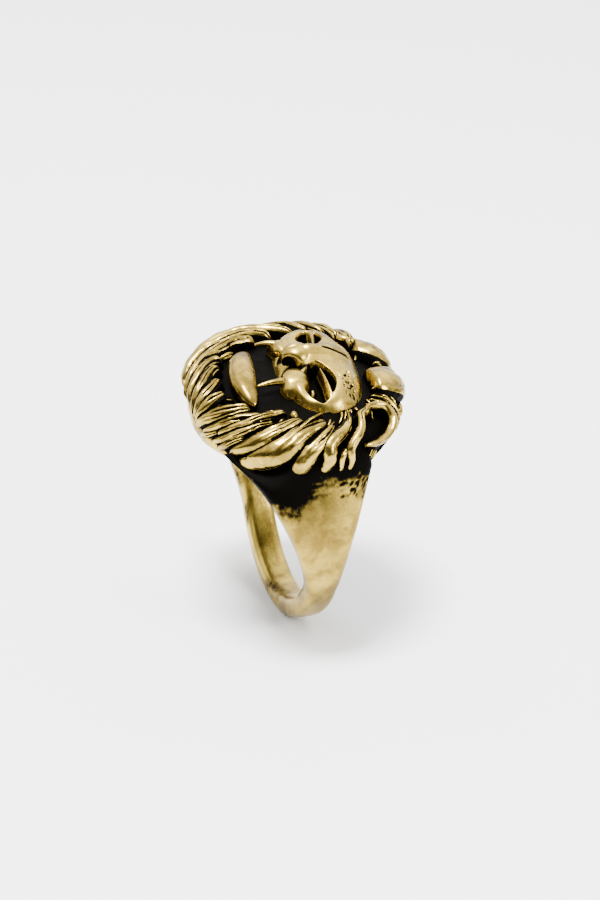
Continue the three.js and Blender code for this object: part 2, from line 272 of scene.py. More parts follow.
# Casting pits: one large one near the brow side of the lion's left shoulder, and many small ones.
pit_dice = np.random.default_rng(5)
pits = [(99.0, 1.25, 0.30, 0.10)]
for _ in range(110):
    side = pit_dice.choice([-1, 1])
    pits.append((side * pit_dice.uniform(40, 122), pit_dice.uniform(-4, 3), pit_dice.uniform(0.07, 0.16),
                 pit_dice.uniform(0.03, 0.08)))
for degrees, y, size, deep in pits:
    away = np.hypot(np.radians(around_degrees - degrees) * radius, shank_points[:, 1] - y)
    dents -= deep * np.exp(-(away / size) ** 2)
shank_points += outward * (dents * outside - 0.03 * outside)[:, None]
shank_points[:, 2] = np.maximum(shank_points[:, 2], FOOT_Z)

# Blackening: solid under the mane, speckled and then smoky below it, and stains on the inside.
wander = grain_of(shank_points, 1.3, 3) + 0.5 * grain_of(shank_points, 0.4, 5)
under_mane = smoothstep(102, 118, np.abs(around_degrees) + 5.0 * wander)
under_mane *= 1 - smoothstep(-3.6, -0.6, shank_points[:, 1] + 1.0 * wander)
under_mane = np.maximum(under_mane, smoothstep(117, 127, np.abs(around_degrees) + 6.0 * wander))
speckle = smoothstep(0.0, 0.4, grain_of(shank_points, 0.22, 8))
speckle *= smoothstep(106, 119, np.abs(around_degrees) + 4 * wander)
inside_stain = (1 - outside) * smoothstep(-0.15, 0.5, grain_of(shank_points, 2.2, 4)) * 0.55
inside_stain += (1 - outside) * 0.85 * smoothstep(66, 108, np.abs(around_degrees) + 12 * wander)
smoky = 0.46 * outside * smoothstep(80, 120, np.abs(around_degrees) + 9 * wander)
shank_wash = np.maximum(np.maximum(0.95 * under_mane, 0.62 * speckle) * outside, inside_stain) + smoky
casting("shank_casting", shank_points, shank_faces, shank_brass, ["shank"], shank_wash)

# ---- Head plate ------------------------------------------------------------------------------------------
# The low dome that the lion is modelled on. It shows only as the blackened ground between the locks. It
# sits slightly turned on the band and leans a little to the lion's left.

HEAD_PIVOT = np.array([0, 0, 10.5])
HEAD_TURN, HEAD_LEAN = math.radians(-6), math.radians(8)
DOME_WIDE, DOME_LONG, DOME_Z = 9.2, 8.8, 8.1
SQUARISH = 2.25  # the power of the rounded outline that the dome and the face share
GROUND_WASH = 0.72
PLATE_SIDES = 180
ground_patina = antique_brass("blackened_ground", light=(0.30, 0.21, 0.06), dark=(0.12, 0.082, 0.022),
                              shine=0.42, grain=900, black_level=0.16, black_softness=0.20, bump=0.6)


def on_head(points):
    """Points of the upright head, turned and leant as the head sits on the band."""
    lean = np.array(Matrix.Rotation(HEAD_TURN, 3, "Z") @ Matrix.Rotation(HEAD_LEAN, 3, "Y"))
    return (np.asarray(points) - HEAD_PIVOT) @ lean.T + HEAD_PIVOT


def dome(angle, reach):
    """A point of the dome: angle goes round from the lion's left, reach from the top down to the rim."""
    angle, reach = np.radians(np.asarray(angle, float)), np.asarray(reach, float)
    down = math.pi / 2 * reach
    spread = np.where(reach <= 1, np.sin(down), 1 - 0.42 * np.maximum(0, reach - 1) ** 1.5)
    x = DOME_WIDE * spread * signed_power(np.cos(angle), 2 / SQUARISH)
    y = DOME_LONG * spread * signed_power(np.sin(angle), 2 / SQUARISH)
    z = DOME_Z + np.where(reach <= 1, 2.9, 3.3) * signed_power(np.cos(down), 2 / 2.5)
    return np.stack([x, y, z], axis=-1)


def dome_normal(angle, reach):
    along = dome(angle, reach + 0.01) - dome(angle, reach - 0.01)
    across = dome(angle + 0.5, reach) - dome(angle - 0.5, reach)
    normal = np.cross(along, across)
    return normal / np.linalg.norm(normal, axis=-1, keepdims=True)


plate_rings = []
for reach in np.linspace(0.03, 1.97, 90):
    around = np.linspace(0, 360, PLATE_SIDES, endpoint=False) + 5
    plate_rings.append(dome(around, np.full(PLATE_SIDES, reach)))
plate_points, plate_faces = skin(plate_rings)
plate_points[:, 2] += 0.05 * grain_of(plate_points, 0.5, 6) + 0.07 * grain_of(plate_points, 1.4, 7)
plate_points = on_head(plate_points)

# The underside follows the finger hole: what would reach into it is pushed out to its wall.
across_axis = np.hypot(plate_points[:, 0], plate_points[:, 2])
hole_wall = FINGER_RADIUS + 0.02
too_deep = across_axis < hole_wall
push = hole_wall / np.maximum(across_axis, 1e-6)
plate_points[too_deep, 0] *= push[too_deep]
plate_points[too_deep, 2] *= push[too_deep]
casting("head_ground", plate_points, plate_faces, ground_patina, ["head_base"],
        np.full(len(plate_points), GROUND_WASH))

# ---- Face ------------------------------------------------------------------------------------------------
# The lion's brow, bridge and cheeks, modelled as one brass mask. Both eyes are sunk in deep almond hollows
# under a smooth brow, a fine crease runs up the forehead, and the temples are stippled with a graver's tip.

FACE_HALF_WIDE, FACE_FAR_HALF_WIDE, FACE_HALF_LONG, FACE_MIDDLE_Y = 6.0, 6.5, 4.0, 1.95
FACE_BOTTOM_Z, FACE_SWELL = 9.0, 3.45
face_brass = antique_brass("face_brass", light=(0.50, 0.35, 0.062), dark=(0.24, 0.16, 0.026), shine=0.27,
                           grain=520, black_level=0.34, black_softness=0.24, bump=0.26)


def bump_at(x, y, middle, size, turn=0.0):
    """1 at the middle of an oval bump and 0 well outside it."""
    dx, dy = x - middle[0], y - middle[1]
    c, s = math.cos(turn), math.sin(turn)
    return np.exp(-((dx * c + dy * s) / size[0]) ** 2 - ((dy * c - dx * s) / size[1]) ** 2)


def ridge_along(x, y, path, width):
    """1 on a line through the points of a path and 0 away from it."""
    nearest = np.full(x.shape, 1e9)
    path = np.asarray(path, float)
    for a, b in zip(path[:-1], path[1:]):
        t = np.clip(((x - a[0]) * (b[0] - a[0]) + (y - a[1]) * (b[1] - a[1])) / np.sum((b - a) ** 2), 0, 1)
        nearest = np.minimum(nearest, np.hypot(x - a[0] - t * (b[0] - a[0]), y - a[1] - t * (b[1] - a[1])))
    return np.exp(-(nearest / width) ** 2)


def almond(x, y, middle, half_wide, half_long):
    """How far out a point lies in an almond-shaped hollow: 0 in its middle, 1 on its edge."""
    u = (x - middle[0]) / half_wide
    v = (y - middle[1]) / half_long
    return np.hypot(u, v / np.maximum(0.25, 1 - 0.35 * u * u))


def through(path, count):
    """A smooth line of so many points through the few points of a path."""
    path = np.asarray(path, float)
    ends = np.vstack([2 * path[0] - path[1], path, 2 * path[-1] - path[-2]])
    line = []
    for s in np.linspace(0, len(path) - 1, count):
        i = min(int(s), len(path) - 2)
        t = s - i
        a, b, c, d = ends[i:i + 4]
        square, cube = 2 * a - 5 * b + 4 * c - d, 3 * b - a - 3 * c + d
        line.append(0.5 * (2 * b + (c - a) * t + square * t ** 2 + cube * t ** 3))
    return np.array(line)


brow_line = through([(0.7, 1.3), (0.95, 2.6), (2.1, 3.35), (3.7, 3.3), (4.9, 2.7), (5.45, 1.6), (5.3, 0.6)],
                    40)
cheek_line = through([(0.9, 0.3), (2.0, -0.25), (3.5, -0.4), (4.8, 0.1), (5.4, 1.1)], 30)
lid_line = through([(1.55, 1.75), (2.6, 1.98), (3.7, 2.15), (4.6, 2.2), (5.2, 1.95)], 30)


def eye_hollow(x, y):
    """1 inside the sunk eyes and 0 outside them, with a crisp edge. The lion's right eye is the smaller."""
    left = almond(x, y, (2.95, 1.42), 2.25, 1.5)
    right = almond(-x, y, (3.45, 1.75), 1.45, 1.15)
    return 1 - smoothstep(0.84, 1.02, np.minimum(left, right))


def upper_lid(sx, y):
    """1 along the heavy upper lid that hangs across each eye; sx is the distance from the middle."""
    return ridge_along(sx, y, lid_line, 0.26 + 0.10 * np.clip(sx - 1.6, 0, 3.4))


def face_edge(x, y):
    """How far out a point lies on the mask, raised to the power of its outline: 1 on its edge."""
    half_wide = np.where(x < 0, FACE_FAR_HALF_WIDE, FACE_HALF_WIDE)
    return np.abs(x / half_wide) ** SQUARISH + np.abs((y - FACE_MIDDLE_Y) / FACE_HALF_LONG) ** SQUARISH


def nostril_hollow(x, y):
    return np.exp(-(((np.abs(x + 0.25) - 1.05) / 0.55) ** 2 + ((y + 0.55) / 0.80) ** 2) ** 2)


def face_height(x, y):
    """The height of the mask, with its bridge, brows, cheeks, sunk eyes and forehead crease."""
    edge = face_edge(x, y) ** (1 / SQUARISH)
    z = FACE_BOTTOM_Z + FACE_SWELL * np.clip(1 - np.clip(edge, 0, 1) ** 2.6, 0, 1) ** (1 / 2.2)
    inner = 1 - smoothstep(0.86, 1.0, edge)
    z += 0.12 * np.clip(-x - 0.5, 0, 6)
    relief = 0.85 * bump_at(x, y, (-0.7, 0.9), (0.95, 1.9)) + 0.30 * bump_at(x, y, (-0.6, 3.6), (1.1, 1.5))
    sx = np.abs(x)
    relief += 0.20 * ridge_along(sx, y, brow_line, 0.75)
    relief += 0.16 * ridge_along(sx, y, cheek_line, 0.70)
    relief += 0.22 * bump_at(sx, y, (1.9, 4.55), (1.1, 0.7))
    relief -= 0.16 * bump_at(sx, y, (3.6, 4.2), (1.0, 0.6))
    relief += 0.50 * bump_at(sx, y, (3.5, -0.65), (1.5, 0.55), 0.25)
    hollow = eye_hollow(x, y)
    relief -= 1.9 * hollow
    relief += 1.95 * upper_lid(sx, y) * hollow
    relief += 1.15 * bump_at(sx, y, (3.3, 0.85), (0.85, 0.5)) * hollow
    relief -= 0.8 * nostril_hollow(x, y)
    relief -= 0.45 * ridge_along(x, y, [(-0.85, 2.5), (-0.8, 3.4), (-0.75, 4.7)], 0.15)
    return z + relief * inner


def face_blacking(x, y):
    """Eye hollows, nostrils, forehead crease and the mask's edge are black; lids and eyeballs are rubbed."""
    sx = np.abs(x)
    hollow = eye_hollow(x, y)
    black = 0.95 * hollow - 1.5 * upper_lid(sx, y) * hollow - 1.1 * bump_at(sx, y, (3.3, 0.80), (0.75, 0.30))
    black = np.maximum(black, 0.95 * nostril_hollow(x, y))
    black = np.maximum(black, 0.95 * ridge_along(x, y, [(-0.85, 2.6), (-0.8, 3.4), (-0.75, 4.6)], 0.17))
    black = np.maximum(black, 0.55 * ridge_along(sx, y, [(1.0, 0.9), (1.25, 0.1), (1.6, -0.5)], 0.28))
    return np.maximum(black, 0.50 * smoothstep(0.80, 0.97, face_edge(x, y)))


face_rings = []
for k in np.linspace(0.004, 1, 120):
    spread = math.sin(math.pi / 2 * k) if k < 1 else 1.0
    around = all_round(260)
    x = spread * signed_power(np.cos(around), 2 / SQUARISH)
    x = x * np.where(x < 0, FACE_FAR_HALF_WIDE, FACE_HALF_WIDE)
    y = FACE_MIDDLE_Y + FACE_HALF_LONG * spread * signed_power(np.sin(around), 2 / SQUARISH)
    face_rings.append(np.stack([x, y, face_height(x, y)], axis=-1))
for _ in range(3):
    face_rings.append(face_rings[-1] - (0, 0, 0.7))
face_points, face_faces = skin(face_rings)
face_wash = face_blacking(face_points[:, 0], face_points[:, 1])
face_wash += 0.8 * (1 - smoothstep(9.2, 10.4, face_points[:, 2])) + 0.14 * grain_of(face_points, 1.0, 18)

# The graver's stippling on both temples.
stipple = sum(bump_at(face_points[:, 0] * s, face_points[:, 1], (3.0, 4.1), (1.5, 0.8)) for s in (1, -1))
stipple = np.clip(stipple, 0, 1) * np.clip(-grain_of(face_points, 0.28, 9) * 2.2 - 0.15, 0, 1)
face_points[:, 2] -= 0.26 * stipple
face_points[:, 2] += 0.02 * grain_of(face_points, 0.8, 10)
face_points = on_head(face_points)
casting("face_mask", face_points, face_faces, face_brass, ["face", "eye_left", "eye_right"],
        face_wash + 0.9 * stipple)

# ---- Nose and muzzle -------------------------------------------------------------------------------------
# A broad round brass nose with two cut nostrils stands highest of all. Two puffed lips hang below it and form
# the upper edge of the open mouth. Modelled with the mask and rubbed bright.


def blob(size, middle, shape, rows=60, sides=90):
    """A closed rounded form; shape(direction) says how far each direction swells or sinks."""
    rings = []
    for k in np.linspace(0.01, math.pi - 0.01, rows):
        around = all_round(sides)
        direction = np.stack([math.sin(k) * np.cos(around), math.sin(k) * np.sin(around),
                              np.full(sides, math.cos(k))], axis=-1)
        rings.append(direction * np.asarray(size) * shape(direction)[:, None] + np.asarray(middle))
    return skin(rings)


def nose_shape(direction):
    """Round, with a nostril sunk in each side and a shallow cleft between them."""
    swell = np.ones(len(direction))
    for side in (1, -1):
        nostril = np.array([0.80 * side, -0.52, 0.10])
        nostril /= np.linalg.norm(nostril)
        swell -= 0.20 * np.exp(-((1 - direction @ nostril) / 0.14) ** 2)
    swell -= 0.08 * np.exp(-(direction[:, 0] / 0.12) ** 2) * (direction[:, 1] < 0)
    return swell


nose_points, nose_faces = blob((1.45, 1.45, 1.2), (-0.75, 0.15, 12.3), nose_shape)
nostril_wash = np.zeros(len(nose_points))
for side in (1, -1):
    nostril = np.array([-0.85 + 1.05 * side, -0.75, 12.1])
    away = np.linalg.norm((nose_points - nostril) / (0.75, 0.75, 0.85), axis=1)
    nostril_wash = np.maximum(nostril_wash, 1 - smoothstep(0.75, 1.05, away))
casting("nose_leather", on_head(nose_points), nose_faces, face_brass, ["nose"], nostril_wash)


def lip_shape(direction):
    """Puffed and a little square, with faint furrows across its top and a flatter chin side."""
    rows = 0.018 * np.cos(direction[:, 0] * 13) * np.exp(-((direction[:, 2] - 0.4) / 0.5) ** 2)
    square = np.sum(np.abs(direction) ** 2.3, axis=1) ** (-1 / 2.3)
    ridge = 0.06 * np.exp(-(direction[:, 0] / 0.30) ** 2) * np.clip(direction[:, 2], 0, 1)
    return square + rows + ridge - 0.16 * np.clip(-direction[:, 1] - 0.4, 0, 1)


lips = {
    "left": (1, (2.20, -0.58, 11.1), (1.7, 1.3, 1.2)),
    "right": (-1, (-3.2, -0.70, 11.15), (1.7, 1.1, 1.1)),
}
for word, (side, middle, size) in lips.items():
    lip_points, lip_faces = blob(size, (0, 0, 0), lip_shape)
    droop = Matrix.Rotation(-0.22 * side, 3, "Z") @ Matrix.Rotation(math.radians(24) * side, 3, "Y")
    turned = lip_points @ np.array(droop).T + np.array(middle)
    turned += 0.03 * np.stack([grain_of(turned, 0.7, s) for s in (11, 12, 13)], axis=-1)
    casting("upper_lip_" + word, on_head(turned), lip_faces, face_brass, ["muzzle_" + word],
            0.8 * (1 - smoothstep(10.0, 10.9, turned[:, 2])))

# ---- Jaw and fangs ---------------------------------------------------------------------------------------
# The lower lip is one thick smooth crescent of brass, the most rubbed place on the ring. A thin fang on each
# side, cast with it, crosses the black mouth from the upper lip.

JAW_STEPS, FANG_SIDES = 100, 20
jaw_brass = antique_brass("bright_brass", light=(0.47, 0.325, 0.058), dark=(0.16, 0.105, 0.018), shine=0.22,
                          grain=330, black_level=0.34, black_softness=0.60, bump=0.20)
jaw_rings, jaw_painted_shade = [], []
jaw_line = through([(-3.3, -3.65, 11.3), (-1.7, -4.45, 11.4), (0.4, -4.8, 11.35), (2.5, -4.85, 11.2),
                    (4.6, -4.4, 10.9)], JAW_STEPS)
jaw_ahead = np.gradient(jaw_line, axis=0)
for i, t in enumerate(np.linspace(-1, 1, JAW_STEPS)):
    full = max(0.16, math.cos(math.pi / 2 * t * (0.95 if t < 0 else 0.86)) ** 0.7)
    full *= math.sqrt(max(0.02, 1 - abs(t) ** 12))
    out = np.cross(jaw_ahead[i], (0, 0, 1))
    out /= np.linalg.norm(out)
    around = all_round(48)
    jaw_rings.append(jaw_line[i] + np.outer(1.18 * full * signed_power(np.cos(around), 0.85), out)
                     + np.outer(1.0 * full * np.sin(around), (0, 0, 1)))
    # Painted shade: the lip is darkened on its mouth-facing side and towards its two ends.
    jaw_painted_shade.append(0.52 * smoothstep(0.1, 0.9, -np.cos(around)) + 0.25 * smoothstep(0.55, 1.0, abs(t)))
jaw_points, jaw_faces = skin(jaw_rings)
jaw_points += 0.03 * np.stack([grain_of(jaw_points, 1.5, s) for s in (14, 15, 16)], axis=-1)
jaw_painted_shade = np.concatenate(jaw_painted_shade + [[0.5, 0.5]]) + 0.22 * grain_of(jaw_points, 1.1, 17)
casting("lower_lip", on_head(jaw_points), jaw_faces, jaw_brass, ["lower_jaw"], jaw_painted_shade)

fangs = {"left": ((2.35, -1.5, 11.8), (2.6, -3.9, 11.6)), "right": ((-3.5, -1.2, 11.9), (-3.9, -2.9, 11.7))}
for word, (top, tip) in fangs.items():
    fang_rings = []
    for t in np.linspace(0, 1, 24):
        around = all_round(FANG_SIDES)
        thick = 0.26 * (1 - t) ** 0.9 + 0.11
        middle = np.array(top) * (1 - t) + np.array(tip) * t + np.array([0, 0, 0.12 * math.sin(math.pi * t)])
        ring = np.stack([np.cos(around), np.zeros(FANG_SIDES), np.sin(around)], axis=-1)
        fang_rings.append(middle + thick * ring)
    fang_points, fang_faces = skin(fang_rings)
    casting("fang_tooth_" + word, on_head(fang_points), fang_faces, jaw_brass,
            ["fang_" + word])

# ---- Mane locks ------------------------------------------------------------------------------------------
# Thick tapering locks lie side by side round the face, each cut with a few long strands while the model was
# still wax, and cast in brass with it. Their tops are rubbed bright and the cuts hold the patina.

mane_brass = antique_brass("mane_brass", light=(0.52, 0.365, 0.066), dark=(0.23, 0.155, 0.026), shine=0.22,
                           grain=460, black_level=0.26, black_softness=0.14, bump=0.32)


def lock(path, width, height, strands, cut, root=0.6, tip=0.15, full_at=0.35, fade=1.0, sink=0.5, flat=0.55,
         seed=0, steps=70, sides=48):
    """A lock of hair that follows the dome along a path, with strands cut along its top, and its blacking.

    root and tip are its widths at the ends as shares of the full width, which it has at full_at; flat is low
    for a flat top and high for a round one. A fade of 1 lets the strands die out towards the tip, and one
    below 0 deepens them there.
    """
    line = through(path, steps)
    middle = dome(line[:, 0], line[:, 1])
    normal = dome_normal(line[:, 0], line[:, 1])
    ahead = np.gradient(middle, axis=0)
    ahead /= np.linalg.norm(ahead, axis=1, keepdims=True)
    across = np.cross(ahead, normal)
    across /= np.linalg.norm(across, axis=1, keepdims=True)
    t = np.linspace(0, 1, steps)
    past_full = np.clip((t - full_at) / (1 - full_at), 0, 1)
    swell = np.where(t < full_at, root + (1 - root) * np.sin(math.pi / 2 * t / full_at),
                     tip + (1 - tip) * np.cos(math.pi / 2 * past_full) ** 0.8)
    round_off = np.sqrt(np.clip(1 - (1 - np.clip(t / 0.10, 0, 1)) ** 2, 0.02, 1))
    round_off *= np.sqrt(np.clip(1 - (1 - np.clip((1 - t) / 0.08, 0, 1)) ** 2, 0.02, 1))
    around = all_round(sides)
    v, up = np.cos(around), np.sin(around)
    rings, blacking = [], []
    for i in range(steps):
        sway = 0.8 * math.sin(2.2 * t[i] * math.pi + seed * 1.7) + seed * 0.37
        uneven = 0.25 * np.sin(3.1 * v + 5 * t[i] + seed)
        groove = (0.5 + 0.5 * np.cos(2 * math.pi * strands * (0.5 * (v + 1) + uneven / strands) + sway)) ** 4
        edge_fade = 1 - smoothstep(0.80, 1.0, np.abs(v))
        strength = groove * edge_fade * (1 - fade * smoothstep(0.15, 0.75, t[i]))
        rise = np.where(up > 0, np.abs(up) ** flat * (1 - cut * strength) * height * (0.35 + 0.65 * swell[i])
                        * round_off[i], -sink * np.abs(up))
        rings.append(middle[i] + np.outer(v * width * swell[i] * round_off[i], across[i])
                     + np.outer(rise, normal[i]))
        sides_black = 1 - smoothstep(0.28, 0.62, up)
        blacking.append(np.maximum(0.66 * sides_black, min(1.0, 4.0 * cut) * 0.75 * strength))
    points, faces = skin(rings)
    points += 0.03 * np.stack([grain_of(points, 0.45, seed + s) for s in (20, 21, 22)], axis=-1)
    points += 0.06 * np.stack([grain_of(points, 1.3, seed + s) for s in (23, 24, 25)], axis=-1)
    return points, faces, np.concatenate([np.concatenate(blacking), [0.6, 0.6]])


def joined(parts):
    """Several closed skins, with their blacking, as one mesh."""
    points, faces, blacking, start = [], [], [], 0
    for some_points, some_faces, some_blacking in parts:
        points.append(some_points)
        faces += [tuple(start + i for i in face) for face in some_faces]
        blacking.append(some_blacking)
        start += len(some_points)
    return np.vstack(points), faces, np.concatenate(blacking)


# The locks that stand for each node: first those of the lion's left, then those of its right.
mane = {
    "crown_lock_left": [
        dict(path=[(80, 0.50), (85, 0.64), (89, 0.80), (90, 0.97)], width=1.95, height=1.5, strands=3,
             cut=0.05, root=0.75, tip=0.5, full_at=0.5, fade=-1.2, flat=0.7, seed=1),
        dict(path=[(74, 0.52), (78, 0.66), (81, 0.80), (80, 0.94)], width=0.34, height=0.95, strands=2,
             cut=0.3, seed=2)],
    "temple_lock_left": [
        dict(path=[(66, 0.52), (69, 0.66), (69, 0.82), (66, 0.98)], width=0.24, height=0.6, strands=2,
             cut=0.35, seed=3),
        dict(path=[(60, 0.52), (62, 0.64), (62, 0.80), (58, 0.96)], width=0.24, height=0.6, strands=2,
             cut=0.35, seed=4)],
    "nape_lock_left": [
        dict(path=[(34, 0.96), (28, 1.08), (21, 1.22)], width=0.7, height=0.7, strands=4, cut=0.6, root=0.8,
             seed=5)],
    "upper_cheek_lock_left": [
        dict(path=[(45, 0.60), (34, 0.60), (27, 0.72), (17, 0.86), (16, 1.02), (9, 1.17)], width=0.50,
             height=1.4, strands=1, cut=0.10, root=0.7, tip=0.5, full_at=0.5, seed=6),
        dict(path=[(30, 0.52), (23, 0.62), (17, 0.74)], width=0.26, height=1.3, strands=1, cut=0.2,
             seed=46)],
    "cheek_lock_left": [
        dict(path=[(27, 0.54), (19, 0.66), (7, 0.80), (5, 0.98), (-1, 1.12)], width=0.72, height=1.35,
             strands=2, cut=0.14, root=0.4, tip=0.45, full_at=0.6, seed=7),
        dict(path=[(17, 0.84), (12, 0.94), (10, 1.06), (5, 1.17)], width=0.36, height=1.2, strands=1,
             cut=0.15, root=0.6, tip=0.4, seed=51)],
    "lower_cheek_lock_left": [
        dict(path=[(13, 0.58), (4, 0.74), (-3, 0.90), (-7, 1.04), (-9, 1.16)], width=0.93, height=1.4,
             strands=3, cut=0.10, root=0.35, tip=0.65, full_at=0.6, seed=8)],
    "jowl_lock_left": [
        dict(path=[(9, 0.54), (-4, 0.67), (-15, 0.84), (-28, 0.99), (-42, 1.10)], width=1.20, height=1.55,
             strands=3, cut=0.10, root=0.45, tip=0.30, full_at=0.6, seed=9),
        dict(path=[(8, 0.50), (-4, 0.61), (-14, 0.74)], width=0.30, height=1.5, strands=2, cut=0.4,
             seed=10)],
    "whisker_lock_left": [
        dict(path=[(-4, 0.52), (-18, 0.66), (-30, 0.82), (-46, 1.02)], width=0.84, height=1.45, strands=3,
             cut=0.14, root=0.5, tip=0.30, full_at=0.55, seed=11)],
    "upper_chin_lock_left": [
        dict(path=[(-16, 0.46), (-31, 0.56), (-43, 0.70), (-56, 0.90)], width=0.52, height=1.3, strands=3,
             cut=0.4, root=0.6, tip=0.4, seed=12),
        dict(path=[(-22, 0.57), (-35, 0.70), (-47, 0.86), (-58, 1.00)], width=0.50, height=1.2, strands=3,
             cut=0.4, root=0.6, tip=0.4, seed=13),
        dict(path=[(-36, 0.80), (-46, 0.92), (-54, 1.04)], width=0.42, height=1.1, strands=3, cut=0.35,
             root=0.6, tip=0.4, seed=49)],
    "lower_chin_lock_left": [
        dict(path=[(-46, 0.50), (-58, 0.66), (-68, 0.86), (-73, 1.00)], width=0.80, height=1.3, strands=4,
             cut=0.35, root=0.7, seed=14),
        dict(path=[(-34, 0.52), (-47, 0.66), (-58, 0.84), (-67, 0.98)], width=0.50, height=1.15, strands=3,
             cut=0.35, tip=0.4, seed=15),
        dict(path=[(-54, 0.86), (-62, 0.95), (-70, 1.04)], width=0.42, height=0.95, strands=3, cut=0.35,
             root=0.6, tip=0.4, seed=50),
        dict(path=[(-98, 0.90), (-84, 0.95), (-70, 1.00), (-56, 1.02), (-44, 1.06)], width=0.80,
             height=0.75, strands=2, cut=0.06, root=0.4, tip=0.4, full_at=0.5, flat=0.7, sink=1.4,
             seed=47)],
    "crown_lock_right": [
        dict(path=[(126, 0.58), (119, 0.71), (112, 0.84), (107, 0.98)], width=1.7, height=1.5, strands=3,
             cut=0.06, root=0.7, tip=0.5, full_at=0.5, fade=-1.2, flat=0.7, seed=16)],
    "temple_lock_right": [
        dict(path=[(124, 0.56), (136, 0.66), (148, 0.82), (156, 1.06)], width=0.62, height=1.5, strands=3,
             cut=0.3, root=0.6, tip=0.3, seed=18)],
    "nape_lock_right": [
        dict(path=[(146, 0.98), (153, 1.08), (159, 1.22)], width=0.75, height=0.75, strands=4, cut=0.5,
             seed=19)],
    "upper_cheek_lock_right": [
        dict(path=[(138, 0.56), (152, 0.68), (164, 0.86), (173, 1.22)], width=0.68, height=1.6, strands=3,
             cut=0.3, root=0.6, tip=0.3, seed=20)],
    "cheek_lock_right": [
        dict(path=[(148, 0.52), (162, 0.62), (175, 0.80), (186, 1.22)], width=0.72, height=1.6, strands=3,
             cut=0.3, root=0.6, tip=0.3, seed=21)],
    "lower_cheek_lock_right": [
        dict(path=[(160, 0.54), (174, 0.66), (188, 0.86), (200, 1.22)], width=0.75, height=1.5, strands=3,
             cut=0.25, root=0.6, tip=0.3, seed=22),
        dict(path=[(184, 0.84), (198, 0.96), (212, 1.18)], width=0.70, height=1.2, strands=3, cut=0.2,
             root=0.5, tip=0.3, seed=52),
        dict(path=[(200, 0.90), (212, 1.00), (226, 1.16)], width=0.66, height=1.1, strands=3, cut=0.2,
             root=0.5, tip=0.3, seed=53)],
    "jowl_lock_right": [
        dict(path=[(170, 0.62), (188, 0.75), (208, 0.84), (228, 0.90), (246, 0.93), (258, 0.96)],
             width=0.78, height=1.35, strands=2, cut=0.07, root=0.5, tip=0.22, full_at=0.45, flat=0.7,
             seed=23),
        dict(path=[(170, 0.50), (186, 0.62), (206, 0.72), (228, 0.82), (246, 0.92)], width=0.62, height=1.5,
             strands=3, cut=0.30, root=0.5, tip=0.25, full_at=0.5, seed=48)],
    "whisker_lock_right": [
        dict(path=[(186, 0.46), (200, 0.54), (220, 0.64), (240, 0.78), (254, 0.96)], width=0.68, height=1.5,
             strands=3, cut=0.35, root=0.5, tip=0.25, seed=24)],
    "upper_chin_lock_right": [
        dict(path=[(202, 0.44), (218, 0.49), (238, 0.58), (256, 0.74), (266, 0.94)], width=0.62, height=1.5,
             strands=3, cut=0.4, root=0.5, tip=0.25, seed=25)],
    "lower_chin_lock_right": [
        dict(path=[(214, 0.58), (230, 0.68), (246, 0.84), (256, 1.00)], width=0.55, height=1.35, strands=3,
             cut=0.4, seed=26)],
}
for node, locks in mane.items():
    points, faces, blacking = joined([lock(**shape) for shape in locks])
    casting(node.replace("lock", "hair"), on_head(points), faces, mane_brass, [node],
            blacking)

beard = [
    [(234, 0.55), (246, 0.62), (260, 0.76), (270, 0.94)],
    [(246, 0.50), (256, 0.60), (267, 0.74), (275, 0.92)],
    [(258, 0.50), (268, 0.62), (276, 0.76), (281, 0.94)],
    [(272, 0.52), (279, 0.64), (283, 0.78), (285, 0.94)],
    [(288, 0.54), (288, 0.66), (288, 0.80), (287, 0.96)],
]
for i, path in enumerate(beard):
    points, faces, blacking = lock(path, 0.60, 1.5, strands=3, cut=0.24, root=0.7, tip=0.2, full_at=0.45,
                                   seed=60 + i)
    casting("beard_hair_%d" % (i + 1), on_head(points), faces, mane_brass,
            ["beard_lock_%d" % (i + 1)], blacking)

# ---- Ears ------------------------------------------------------------------------------------------------
# A small round ear on each side: a thick brass rim turned over a deep black hollow, modelled like a lock bent
# round on itself and cast with the mane.

for side, word in ((1, "left"), (-1, "right")):
    path = [(26, 0.90), (36, 0.91), (46, 0.88), (54, 0.79), (55, 0.66), (46, 0.58), (36, 0.61)]
    if side < 0:
        path = [(180 - angle, reach) for angle, reach in path]
    points, faces, blacking = lock(path, 0.42, 1.35, strands=1, cut=0.0, root=0.6, tip=0.7, full_at=0.5,
                                   flat=0.7, seed=30 + side, sides=30)
    casting("ear_rim_" + word, on_head(points), faces, mane_brass, ["ear_" + word],
            0.8 * blacking)

# A single round bead of metal was left standing in the groove beside the cheek.
bead_points, bead_faces = blob((0.50, 0.36, 0.5), (6.5, -1.42, 10.9), lambda d: np.ones(len(d)), 24, 30)
casting("groove_bead", on_head(bead_points), bead_faces, mane_brass, [])

# ---- Fine hairs ------------------------------------------------------------------------------------------
# Short thin hairs cut into the wax between the locks and along the groove round the face. They catch the
# rubbing and break up the black with bright flecks.

hair_dice = np.random.default_rng(12)
hair_parts = []
